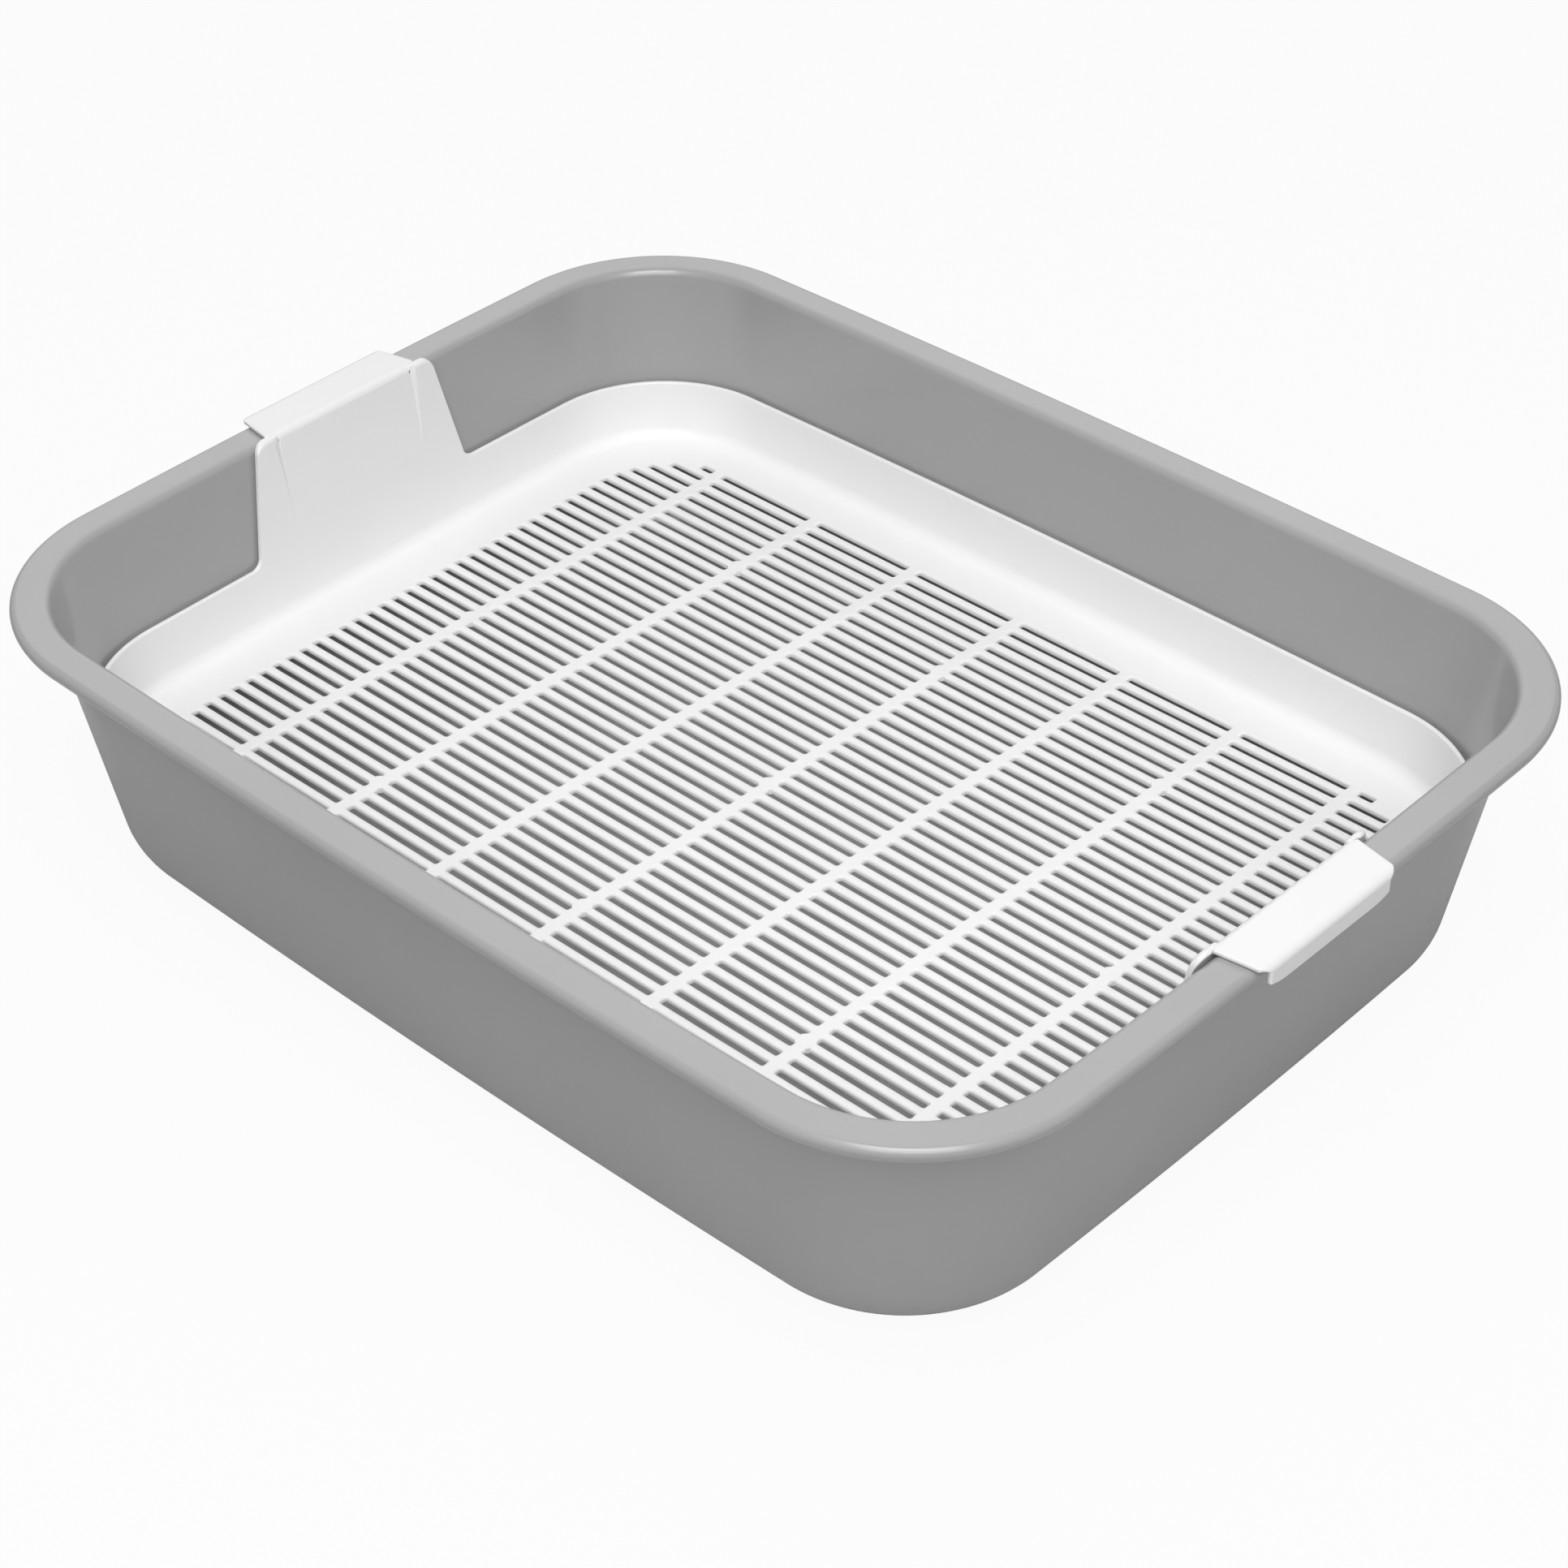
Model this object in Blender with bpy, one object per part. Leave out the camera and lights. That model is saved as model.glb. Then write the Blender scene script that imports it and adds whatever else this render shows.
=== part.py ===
"""Sifting litter box: a deep pan with a broad rim, and a slotted sieve tray that hangs in it by two hooks.

Metres, +X along the box, +Z up, origin under the middle of the pan's base. Outlines are named by their
inset from the edge of the pan's rim and by their height over the base, because every wall of the pan and
of the tray follows the rim in plan.
"""

import math

import bmesh
import bpy
from mathutils import Matrix, Vector

# Pan, overall and in plan
PAN_LENGTH = 0.4779
PAN_WIDTH = 0.3742
PAN_HEIGHT = 0.1122
PAN_CORNER = 0.0712
CORNER_GROWTH = 0.0159
END_BOW = 0.0010
SIDE_BOW = 0.0019

# Pan, section
PAN_WALL = 0.0022
PAN_DRAFT = 0.0146
PAN_FOOT_FILLET = 0.0201
RIM_FLANGE = 0.0145
RIM_FALL = 0.0005
RIM_THICKNESS = 0.0022
RIM_LIP = 0.0060
RIM_OUTER_ROUND = 0.0028
RIM_INNER_ROUND = 0.0033
LIP_EDGE_ROUND = 0.0006

# Sieve tray, section
TRAY_CLEARANCE = 0.0014
TRAY_WALL = 0.0020
TRAY_EDGE_ROUND = 0.0008
TRAY_TOP_DROP = 0.0458
TRAY_FLOOR_DROP = 0.0693
TRAY_FLOOR = 0.0024
TRAY_FILLET = 0.0056

# Slotted floor
SLOT_PITCH = 0.00675
SLOT_WIDTH = 0.0031
SLOT_LEAST_LENGTH = 0.0030
RIB_PITCH = 0.0526
RIB_WIDTH = 0.0053
FIELD_END_BORDER = 0.0207
FIELD_SIDE_BORDER = 0.0164
FIELD_CORNER = 0.0397
PAD_RADIUS = 0.0038
PAD_RISE = 0.0002
PAD_ROWS_APART = 14
PAD_MIDDLE_RIBS = 3
PAD_OUTER_RIBS = 2

# Panels that rise from the tray's ends to the hooks
PANEL_HALF_FOOT = 0.0535
PANEL_HALF_HEAD = 0.0442
PANEL_RISE = 0.0024
PANEL_FOOT_FILLET = 0.0050
PANEL_SHOULDER = 0.0050

# Hooks over the pan's rim
HOOK_THICKNESS = 0.0018
HOOK_FALL = 0.0006
HOOK_SEAT = 0.0003
HOOK_EDGE_CLEARANCE = 0.0017
HOOK_INNER_BEND = 0.0030
HOOK_OUTER_BEND = 0.0027
HOOK_UNDER_BEND = 0.0008
HOOK_ROOT_DROP = 0.0380
HOOK_ROOT_SINK = 0.0003
HOOK_PROUD = 0.0007
HOOK_EMBEDDED = 0.0012
HOOK_HALF_ROOT = 0.0325
HOOK_HALF_BEND = 0.0335
HOOK_HALF_PLATE = 0.0379
HOOK_HALF_EDGE = 0.0349
HOOK_CORNER = 0.0035
LIP_DROP = 0.0078
LIP_END_DROP = 0.0062
LIP_TAPER_SHARES = (0.72, 0.86, 0.95, 1.0)

# Facets and cuts
CORNER_STEPS = 10
FILLET_STEPS = 5
SMALL_ROUND_STEPS = 3
SIDE_SHARES = (0.75, 0.4, 0.0, -0.4, -0.75)
END_SHARES = (-0.7, -0.25, 0.25, 0.7)
PAD_STEPS = 16
CUT_OVERRUN = 0.0010
WELD_SHARE = 0.001
SMOOTH_ANGLE = math.radians(32)

# Colours and gloss
PAN_GREY = (0.39, 0.39, 0.39, 1.0)
PAN_ROUGHNESS = 0.32
TRAY_WHITE = (0.86, 0.86, 0.86, 1.0)
TRAY_ROUGHNESS = 0.38


def rounded_path(corners, steps):
    """Points along a path whose corners are rounded; its first and last corners only give directions.

    Each corner is (u, v, radius), and each rounding is cut to what its two legs can hold.
    """
    points = []
    for before, here, after in zip(corners, corners[1:], corners[2:]):
        corner = Vector(here[:2])
        back = Vector(before[:2]) - corner
        ahead = Vector(after[:2]) - corner
        half_angle = back.angle(ahead) / 2
        reach = here[2] / math.tan(half_angle)
        reach = min(reach, back.length / 2, ahead.length / 2)
        if reach <= 0:
            points.append(corner)
            continue
        radius = reach * math.tan(half_angle)
        bisector = (back.normalized() + ahead.normalized()).normalized()
        middle = corner + bisector * radius / math.sin(half_angle)
        start = corner + back.normalized() * reach - middle
        turn = start.angle_signed(corner + ahead.normalized() * reach - middle)
        for step in range(steps + 1):
            swing = -turn * step / steps
            points.append(middle + Matrix.Rotation(swing, 2) @ start)
    return points


def pan_wall_inset(height):
    """Inset of the pan's inner wall at a height."""
    return RIM_FLANGE + PAN_DRAFT * (PAN_HEIGHT - height) / PAN_HEIGHT


def tray_outer_inset(height):
    """Inset of the tray's outer wall, which keeps its clearance to the pan's wall."""
    return pan_wall_inset(height) + TRAY_CLEARANCE


def tray_inner_inset(height):
    """Inset of the tray's inner wall."""
    return tray_outer_inset(height) + TRAY_WALL


def plan_sizes(inset, height):
    """Half length and half width at the corners, and the corner radius, of the outline at an inset."""
    radius = PAN_CORNER - inset + CORNER_GROWTH * (PAN_HEIGHT - height) / PAN_HEIGHT
    return PAN_LENGTH / 2 - END_BOW - inset, PAN_WIDTH / 2 - SIDE_BOW - inset, radius


def plan_stations(end_places):
    """Stations round the plan, anticlockwise: kind, place, and the signs of x and y."""
    quarter = [step / CORNER_STEPS * math.pi / 2 for step in range(CORNER_STEPS + 1)]
    stations = [("end", place, 1, 1) for place in end_places]
    stations += [("corner", angle, 1, 1) for angle in quarter]
    stations += [("side", share, 1, 1) for share in SIDE_SHARES]
    stations += [("corner", angle, -1, 1) for angle in reversed(quarter)]
    stations += [("end", -place, -1, 1) for place in end_places]
    stations += [("corner", angle, -1, -1) for angle in quarter]
    stations += [("side", -share, 1, -1) for share in SIDE_SHARES]
    stations += [("corner", angle, 1, -1) for angle in reversed(quarter)]
    return stations


def station_point(station, inset, height):
    """Point of one station at an inset and a height; long and short sides bow a little outwards."""
    kind, place, sign_x, sign_y = station
    half_length, half_width, radius = plan_sizes(inset, height)
    straight_x = half_length - radius
    straight_y = half_width - radius
    if kind == "end":
        return Vector((sign_x * (half_length + END_BOW * (1 - (place / straight_y) ** 2)), place, height))
    if kind == "side":
        return Vector((place * straight_x, sign_y * (half_width + SIDE_BOW * (1 - place ** 2)), height))
    x = sign_x * (straight_x + radius * math.cos(place))
    return Vector((x, sign_y * (straight_y + radius * math.sin(place)), height))


def level_rings(stations, section):
    """One level ring of points for each (inset, height) of a section."""
    return [[station_point(station, inset, height) for station in stations] for inset, height in section]


def shell_mesh(name, rings):
    """Closed shell of rings that run up the outside, over the edge and down the inside, capped twice."""
    count = len(rings[0])
    vertices = [point for ring in rings for point in ring]
    faces = [tuple(reversed(range(count)))]
    for lower in range(len(rings) - 1):
        for here in range(count):
            after = (here + 1) % count
            first = lower * count
            faces.append((first + here, first + after, first + count + after, first + count + here))
    faces.append(tuple(range(len(vertices) - count, len(vertices))))
    mesh = bpy.data.meshes.new(name)
    mesh.from_pydata(vertices, [], faces)
    mesh.update()
    return mesh


def add_object(name, mesh):
    """Object of a mesh, linked to the scene."""
    item = bpy.data.objects.new(name, mesh)
    bpy.context.scene.collection.objects.link(item)
    return item


def combine(base, tool, operation):
    """Apply a Boolean of a tool to a base object, and remove the tool."""
    modifier = base.modifiers.new("combine", "BOOLEAN")
    modifier.operation = operation
    modifier.solver = "EXACT"
    modifier.object = tool
    evaluated = base.evaluated_get(bpy.context.evaluated_depsgraph_get())
    result = bpy.data.meshes.new_from_object(evaluated)
    base.modifiers.clear()
    base.data = result
    bpy.data.objects.remove(tool)


def plastic(name, colour, roughness):
    """Moulded plastic of one colour."""
    material = bpy.data.materials.new(name)
    material.use_nodes = True
    shader = material.node_tree.nodes["Principled BSDF"]
    shader.inputs["Base Color"].default_value = colour
    shader.inputs["Roughness"].default_value = roughness
    shader.inputs["Metallic"].default_value = 0.0
    return material


def finish(item, material):
    """Give an object its one material and smooth shading with sharp edges."""
    item.data.materials.clear()
    item.data.materials.append(material)
    item.data.shade_smooth()
    item.data.set_sharp_from_angle(angle=SMOOTH_ANGLE)


def pan_section():
    """Section of the pan as (inset, height): base, outside, rim that falls outwards, inside and floor."""
    under = PAN_HEIGHT - RIM_THICKNESS
    edge_top = PAN_HEIGHT - RIM_FALL
    outer_foot = pan_wall_inset(0) - PAN_WALL
    inner_foot = pan_wall_inset(PAN_WALL)
    base_middle = outer_foot + PAN_WIDTH / 2
    foot = rounded_path([(base_middle, 0, 0),
                         (outer_foot, 0, PAN_FOOT_FILLET + PAN_WALL),
                         (pan_wall_inset(under) - PAN_WALL, under, 0)], FILLET_STEPS)
    rim = rounded_path([(outer_foot, 0, 0),
                        (pan_wall_inset(under) - PAN_WALL, under, LIP_EDGE_ROUND),
                        (RIM_THICKNESS, edge_top - RIM_THICKNESS, RIM_OUTER_ROUND - RIM_THICKNESS),
                        (RIM_THICKNESS, PAN_HEIGHT - RIM_LIP, LIP_EDGE_ROUND),
                        (0, PAN_HEIGHT - RIM_LIP, LIP_EDGE_ROUND),
                        (0, edge_top, RIM_OUTER_ROUND),
                        (RIM_FLANGE, PAN_HEIGHT, RIM_INNER_ROUND),
                        (inner_foot, PAN_WALL, 0)], SMALL_ROUND_STEPS)
    floor = rounded_path([(RIM_FLANGE, PAN_HEIGHT, 0),
                          (inner_foot, PAN_WALL, PAN_FOOT_FILLET),
                          (base_middle, PAN_WALL, 0)], FILLET_STEPS)
    return foot + rim + floor


def build_pan():
    """The pan: one moulded shell with a turned-down rim."""
    straight = PAN_WIDTH / 2 - SIDE_BOW - PAN_CORNER
    stations = plan_stations([share * straight for share in END_SHARES])
    rings = level_rings(stations, pan_section())
    pan = add_object("litter_pan", shell_mesh("litter_pan", rings))
    finish(pan, plastic("grey_plastic", PAN_GREY, PAN_ROUGHNESS))


def panel_outline():
    """Places across a tray end, with the height of the wall's top at each, from one side to the other."""
    wall_top = PAN_HEIGHT - TRAY_TOP_DROP
    shoulder = PAN_HEIGHT + PANEL_RISE
    inside_plate = PAN_HEIGHT + HOOK_SEAT + HOOK_THICKNESS / 2
    corners = [(HOOK_HALF_PLATE - PANEL_SHOULDER, shoulder, 0),
               (PANEL_HALF_HEAD, shoulder, PANEL_SHOULDER),
               (PANEL_HALF_FOOT, wall_top, PANEL_FOOT_FILLET),
               (PANEL_HALF_FOOT + PANEL_FOOT_FILLET + PANEL_SHOULDER, wall_top, 0)]
    half = [tuple(point) for point in rounded_path(corners, FILLET_STEPS)]
    hidden = half[0][0] - HOOK_THICKNESS / 2
    half.insert(0, (min(hidden, HOOK_HALF_PLATE - HOOK_SEAT), inside_plate))
    return [(-place, height) for place, height in reversed(half)] + half


def tray_rings(stations, tops):
    """Rings of the tray's shell; each station has its own top, so the end panels rise from the wall."""
    under = PAN_HEIGHT - TRAY_FLOOR_DROP - TRAY_FLOOR
    floor = PAN_HEIGHT - TRAY_FLOOR_DROP
    wall_top = PAN_HEIGHT - TRAY_TOP_DROP
    middle = PAN_WIDTH / 2
    outer_foot = rounded_path([(middle, under, 0),
                               (tray_outer_inset(under), under, TRAY_FILLET + TRAY_FLOOR),
                               (tray_outer_inset(wall_top), wall_top, 0)], FILLET_STEPS)
    inner_foot = rounded_path([(tray_inner_inset(wall_top), wall_top, 0),
                               (tray_inner_inset(floor), floor, TRAY_FILLET),
                               (middle, floor, 0)], FILLET_STEPS)
    rings = level_rings(stations, outer_foot)
    edges = []
    for top in tops:
        edges.append(rounded_path([(tray_outer_inset(under), under, 0),
                                   (tray_outer_inset(top), top, TRAY_EDGE_ROUND),
                                   (tray_inner_inset(top), top, TRAY_EDGE_ROUND),
                                   (tray_inner_inset(floor), floor, 0)], SMALL_ROUND_STEPS))
    for level in range(len(edges[0])):
        rings.append([station_point(station, *edge[level]) for station, edge in zip(stations, edges)])
    return rings + level_rings(stations, inner_foot)


def hook_half_width(x, edge):
    """Half width of the hook's plate at a place along the box, narrowing outwards to rounded corners."""
    start = PAN_LENGTH / 2 - RIM_FLANGE
    share = max(0, (x - start) / (edge - start))
    width = HOOK_HALF_PLATE + (HOOK_HALF_EDGE - HOOK_HALF_PLATE) * share
    past = min(HOOK_CORNER, max(0, x - (edge - HOOK_CORNER)))
    return width - HOOK_CORNER + math.sqrt(HOOK_CORNER ** 2 - past ** 2)


def hook_stations():
    """Stations along the +X hook: its shown and hidden side (x and z), half width, and share of the lip."""
    end = PAN_LENGTH / 2
    edge = end + HOOK_EDGE_CLEARANCE + HOOK_THICKNESS
    top = PAN_HEIGHT + HOOK_SEAT + HOOK_THICKNESS
    under = PAN_HEIGHT + HOOK_SEAT
    root = PAN_HEIGHT - HOOK_ROOT_DROP
    root_face = end - tray_inner_inset(root) + HOOK_ROOT_SINK
    head_face = end - tray_inner_inset(PAN_HEIGHT) - HOOK_PROUD
    shown = rounded_path([(root_face, root, 0), (head_face, top, HOOK_INNER_BEND),
                          (edge, top - HOOK_FALL, HOOK_OUTER_BEND), (edge, top - HOOK_ROOT_DROP, 0)],
                         FILLET_STEPS)
    hidden = rounded_path([(root_face + HOOK_EMBEDDED, root, 0), (head_face + HOOK_EMBEDDED, under, 0),
                           (edge - HOOK_THICKNESS, under - HOOK_FALL, HOOK_UNDER_BEND),
                           (edge - HOOK_THICKNESS, top - HOOK_ROOT_DROP, 0)], FILLET_STEPS)
    inner_bend = FILLET_STEPS + 1
    hidden = [hidden[0]] * inner_bend + hidden[1:]
    stations = [((root_face, root), (root_face + HOOK_EMBEDDED, root), HOOK_HALF_ROOT, 0)]
    for index, (front, back) in enumerate(zip(shown, hidden)):
        bend_share = min(1, index / (inner_bend - 1))
        width = hook_half_width(front[0], edge)
        if index < inner_bend:
            width = HOOK_HALF_BEND + (HOOK_HALF_PLATE - HOOK_HALF_BEND) * bend_share
        stations.append((tuple(front), tuple(back), width, 0))
    front = (edge, PAN_HEIGHT)
    back = (edge - HOOK_THICKNESS, PAN_HEIGHT)
    stations.append((front, back, hook_half_width(edge, edge), 1))
    return stations


def lip_drop(share):
    """How far the lip reaches below the rim's top at a share of its half width; its ends are drawn up."""
    start = LIP_TAPER_SHARES[0]
    past = max(0, abs(share) - start) / (LIP_TAPER_SHARES[-1] - start)
    return LIP_DROP + (LIP_END_DROP - LIP_DROP) * past ** 2


def hook_mesh(name, sign):
    """Closed strip that starts inside the end panel, bends over the rim and ends in a lip outside it."""
    shares = [-share for share in reversed(LIP_TAPER_SHARES)] + list(LIP_TAPER_SHARES)
    stations = hook_stations()
    work = bmesh.new()
    grid = []
    for front, back, half_width, lip in stations:
        row = []
        for share in shares:
            drop = lip * lip_drop(share)
            row.append([work.verts.new((sign * x, share * half_width, z - drop)) for x, z in (front, back)])
        grid.append(row)
    for row, following in zip(grid, grid[1:]):
        for side in (0, 1):
            for here in range(len(shares) - 1):
                work.faces.new((row[here][side], row[here + 1][side],
                                following[here + 1][side], following[here][side]))
        for here in (0, -1):
            work.faces.new((row[here][0], row[here][1], following[here][1], following[here][0]))
    for row in (grid[0], grid[-1]):
        for here in range(len(shares) - 1):
            work.faces.new((row[here][0], row[here + 1][0], row[here + 1][1], row[here][1]))
    bmesh.ops.remove_doubles(work, verts=work.verts, dist=HOOK_SEAT * WELD_SHARE)
    bmesh.ops.recalc_face_normals(work, faces=work.faces)
    bmesh.ops.triangulate(work, faces=work.faces)
    mesh = bpy.data.meshes.new(name)
    work.to_mesh(mesh)
    work.free()
    return mesh


def field_half_sizes():
    """Half length and half width of the slotted field in the tray's floor."""
    floor = PAN_HEIGHT - TRAY_FLOOR_DROP
    half_length, half_width, _ = plan_sizes(tray_inner_inset(floor), floor)
    return half_length - FIELD_END_BORDER, half_width - FIELD_SIDE_BORDER


def slot_spans():
    """Every slot as (first x, last x, y): rows along the box, broken by the cross ribs."""
    half_length, half_width = field_half_sizes()
    ribs = int((half_length - RIB_WIDTH) / RIB_PITCH)
    rows = int((half_width - SLOT_WIDTH / 2) / SLOT_PITCH + 0.5)
    spans = []
    for row in range(-rows, rows):
        y = (row + 0.5) * SLOT_PITCH
        past = min(FIELD_CORNER, max(0, abs(y) - (half_width - FIELD_CORNER)))
        end = half_length - FIELD_CORNER + math.sqrt(FIELD_CORNER ** 2 - past ** 2)
        for cell in range(-ribs - 1, ribs + 1):
            first = max(-end, cell * RIB_PITCH + RIB_WIDTH / 2)
            last = min(end, (cell + 1) * RIB_PITCH - RIB_WIDTH / 2)
            if last - first >= SLOT_LEAST_LENGTH:
                spans.append((first, last, y))
    return spans


def slot_cutter():
    """One mesh with a box for each slot, running past both faces of the floor."""
    top = PAN_HEIGHT - TRAY_FLOOR_DROP + CUT_OVERRUN
    bottom = PAN_HEIGHT - TRAY_FLOOR_DROP - TRAY_FLOOR - CUT_OVERRUN
    work = bmesh.new()
    for first, last, y in slot_spans():
        scale = Matrix.Diagonal((last - first, SLOT_WIDTH, top - bottom, 1))
        place = Matrix.Translation(((first + last) / 2, y, (top + bottom) / 2))
        bmesh.ops.create_cube(work, size=1.0, matrix=place @ scale)
    mesh = bpy.data.meshes.new("slot_cutter")
    work.to_mesh(mesh)
    work.free()
    return add_object("slot_cutter", mesh)


def pad_places():
    """Places of the round pads on the floor: a middle row and two outer rows of three."""
    outer_y = PAD_ROWS_APART * SLOT_PITCH
    places = [(rib * RIB_PITCH, 0) for rib in (-PAD_MIDDLE_RIBS, 0, PAD_MIDDLE_RIBS)]
    for y in (-outer_y, outer_y):
        places += [(rib * RIB_PITCH, y) for rib in (-PAD_OUTER_RIBS, 0, PAD_OUTER_RIBS)]
    return places


def pads():
    """The round pads as short cylinders that fill the slots they cross."""
    top = PAN_HEIGHT - TRAY_FLOOR_DROP + PAD_RISE
    bottom = PAN_HEIGHT - TRAY_FLOOR_DROP - TRAY_FLOOR + PAD_RISE
    work = bmesh.new()
    for x, y in pad_places():
        place = Matrix.Translation((x, y, (top + bottom) / 2))
        bmesh.ops.create_cone(work, cap_ends=True, segments=PAD_STEPS, radius1=PAD_RADIUS,
                              radius2=PAD_RADIUS, depth=top - bottom, matrix=place)
    mesh = bpy.data.meshes.new("pads")
    work.to_mesh(mesh)
    work.free()
    return add_object("pads", mesh)


def build_tray():
    """The sieve tray: a shallow shell with end panels, hooks, slots and pads, one moulding."""
    outline = panel_outline()
    stations = plan_stations([place for place, _ in outline])
    panel_tops = dict(outline)
    wall_top = PAN_HEIGHT - TRAY_TOP_DROP
    tops = [panel_tops[place] if kind == "end" else wall_top for kind, place, _, _ in stations]
    tray = add_object("sieve_tray", shell_mesh("sieve_tray", tray_rings(stations, tops)))
    for sign in (1, -1):
        combine(tray, add_object("hook", hook_mesh("hook", sign)), "UNION")
    combine(tray, slot_cutter(), "DIFFERENCE")
    combine(tray, pads(), "UNION")
    tray.data.transform(Matrix.Translation((0, 0, -PAN_HEIGHT)))
    tray.location = (0, 0, PAN_HEIGHT)
    finish(tray, plastic("white_plastic", TRAY_WHITE, TRAY_ROUGHNESS))


for existing in list(bpy.data.objects):
    bpy.data.objects.remove(existing)
build_pan()
build_tray()
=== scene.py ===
"""Looks of the sifting litter box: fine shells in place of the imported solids, plastics, light and camera.

Metres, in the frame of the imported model. Outlines are named by their inset from the edge of the pan's rim
and by their height over the base, because every wall of the pan and of the tray follows the rim in plan.
"""

import math

import bmesh
import bpy
from mathutils import Matrix, Vector, geometry


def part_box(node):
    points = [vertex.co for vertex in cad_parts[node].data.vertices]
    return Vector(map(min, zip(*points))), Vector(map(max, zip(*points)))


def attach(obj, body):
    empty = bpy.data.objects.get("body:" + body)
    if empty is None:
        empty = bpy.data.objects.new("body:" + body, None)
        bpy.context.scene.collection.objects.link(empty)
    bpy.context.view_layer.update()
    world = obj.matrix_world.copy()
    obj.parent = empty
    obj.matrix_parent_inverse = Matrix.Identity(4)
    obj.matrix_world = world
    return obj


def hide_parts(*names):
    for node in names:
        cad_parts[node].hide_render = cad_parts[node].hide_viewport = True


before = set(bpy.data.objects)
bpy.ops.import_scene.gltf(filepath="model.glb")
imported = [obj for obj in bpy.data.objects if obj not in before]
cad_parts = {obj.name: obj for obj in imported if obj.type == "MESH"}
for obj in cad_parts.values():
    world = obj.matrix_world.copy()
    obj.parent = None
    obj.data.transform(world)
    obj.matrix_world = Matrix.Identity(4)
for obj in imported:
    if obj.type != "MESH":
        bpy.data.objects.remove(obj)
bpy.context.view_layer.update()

# Sizes that come from the frame
pan_low, pan_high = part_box("litter_pan")
tray_low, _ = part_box("sieve_tray")
PAN_LENGTH = pan_high.x - pan_low.x
PAN_WIDTH = pan_high.y - pan_low.y
PAN_HEIGHT = pan_high.z

# Pan, in plan and in section
PAN_CORNER = 0.0712
CORNER_GROWTH = 0.0159
END_BOW = 0.0010
SIDE_BOW = 0.0019
PAN_WALL = 0.0022
PAN_DRAFT = 0.0146
PAN_FOOT_FILLET = 0.0201
RIM_FLANGE = 0.0145
RIM_FALL = 0.0005
RIM_THICKNESS = 0.0022
RIM_LIP = 0.0060
RIM_OUTER_ROUND = 0.0028
RIM_ROLL_LEAN = math.radians(24)
RIM_INNER_ROUND = 0.0033
LIP_EDGE_ROUND = 0.0004

# Sieve tray, in section
TRAY_CLEARANCE = 0.0014
TRAY_WALL = 0.0020
TRAY_EDGE_ROUND = 0.0009
TRAY_TOP_DROP = 0.0458
TRAY_FLOOR_DROP = 0.0693
TRAY_FLOOR = PAN_HEIGHT - TRAY_FLOOR_DROP - tray_low.z
TRAY_FILLET = 0.0056

# Slotted floor
SLOT_PITCH = 0.00675
SLOT_WIDTH = 0.0031
SLOT_CORNER = 0.0005
SLOT_EDGE_ROUND = 0.0010
SLOT_UNDER_ROUND = 0.0004
RIB_PITCH = 0.0526
RIB_WIDTH = 0.0053
RIB_COUNT_EACH_SIDE = 3
SLOT_ROWS_EACH_SIDE = 21
FIELD_END_BORDER = 0.0207
FIELD_SIDE_BORDER = 0.0164
FIELD_CORNER = 0.0397
PAD_RADIUS = 0.0038
PAD_RISE = 0.0002
PAD_EDGE_ROUND = 0.0002
PAD_ROWS_APART = 14
PAD_MIDDLE_RIBS = 3
PAD_OUTER_RIBS = 2

# End panels and hooks
PANEL_HALF_FOOT = 0.0535
PANEL_HALF_HEAD = 0.0442
PANEL_RISE = 0.0020
PANEL_FOOT_FILLET = 0.0050
PANEL_SHOULDER = 0.0050
SHOULDER_FLARE = 0.0018
SHOULDER_ROUND = 0.0026
SHOULDER_BLEND = 0.0040
HOOK_THICKNESS = 0.0018
HOOK_FALL = 0.0006
HOOK_SEAT = 0.0003
HOOK_EDGE_CLEARANCE = 0.0017
HOOK_INNER_BEND = 0.0030
HOOK_OUTER_BEND = 0.0027
HOOK_UNDER_BEND = 0.0008
HOOK_ROOT_DROP = 0.0380
HOOK_ROOT_SINK = 0.0003
HOOK_INSIDE = 0.00105
HOOK_EMBEDDED = 0.0012
HOOK_HALF_ROOT = 0.0325
HOOK_HALF_BEND = 0.0335
HOOK_HALF_PLATE = 0.0379
HOOK_HALF_EDGE = 0.0349
HOOK_CORNER = 0.0035
HOOK_EDGE_ROUND = 0.0007
HOOK_ROUND_LIMIT_SHARE = 0.9
RECESS_DEPTH = 0.0010
RECESS_RAMP = 0.0024
RECESS_EXCESS_SHARE = 0.1
RECESS_LENGTH = 0.0340
RECESS_OVERRUN = 0.0040
RECESS_SIDE_ROOM = 0.0004
PANEL_HIDDEN_DROP = 0.0012
LIP_DROP = 0.0078
LIP_END_DROP = 0.0062
LIP_TAPER_SHARE = 0.72

# Fineness of the meshes
CORNER_STEPS = 44
SIDE_STEPS = 24
END_STEPS = 16
FILLET_STEPS = 16
SMALL_ROUND_STEPS = 6
ROLL_STEPS = 12
PANEL_STEPS = 12
SLOT_CORNER_STEPS = 2
SLOT_EDGE_STEPS = 3
PAD_STEPS = 40
HOOK_ROUND_STEPS = 4
HOOK_ACROSS_STEPS = 28
RECESS_STEPS = 6
RECESS_RAMP_STEPS = 5

# Shading: faces that meet at less than this angle run smoothly together, and large faces stay flat
SMOOTH_ANGLE = math.radians(50)
LARGE_FACE_WEIGHT = 100

# Plastics: darkest and lightest grey, range of roughness, and weight of the clear coat
PAN_GREYS = (0.370, 0.390)
PAN_ROUGHNESS = (0.29, 0.34)
PAN_COAT = 0.45
TRAY_GREYS = (0.885, 0.905)
TRAY_ROUGHNESS = (0.34, 0.39)
TRAY_COAT = 0.12
COAT_ROUGHNESS = 0.12
PLASTIC_IOR = 1.49

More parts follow.
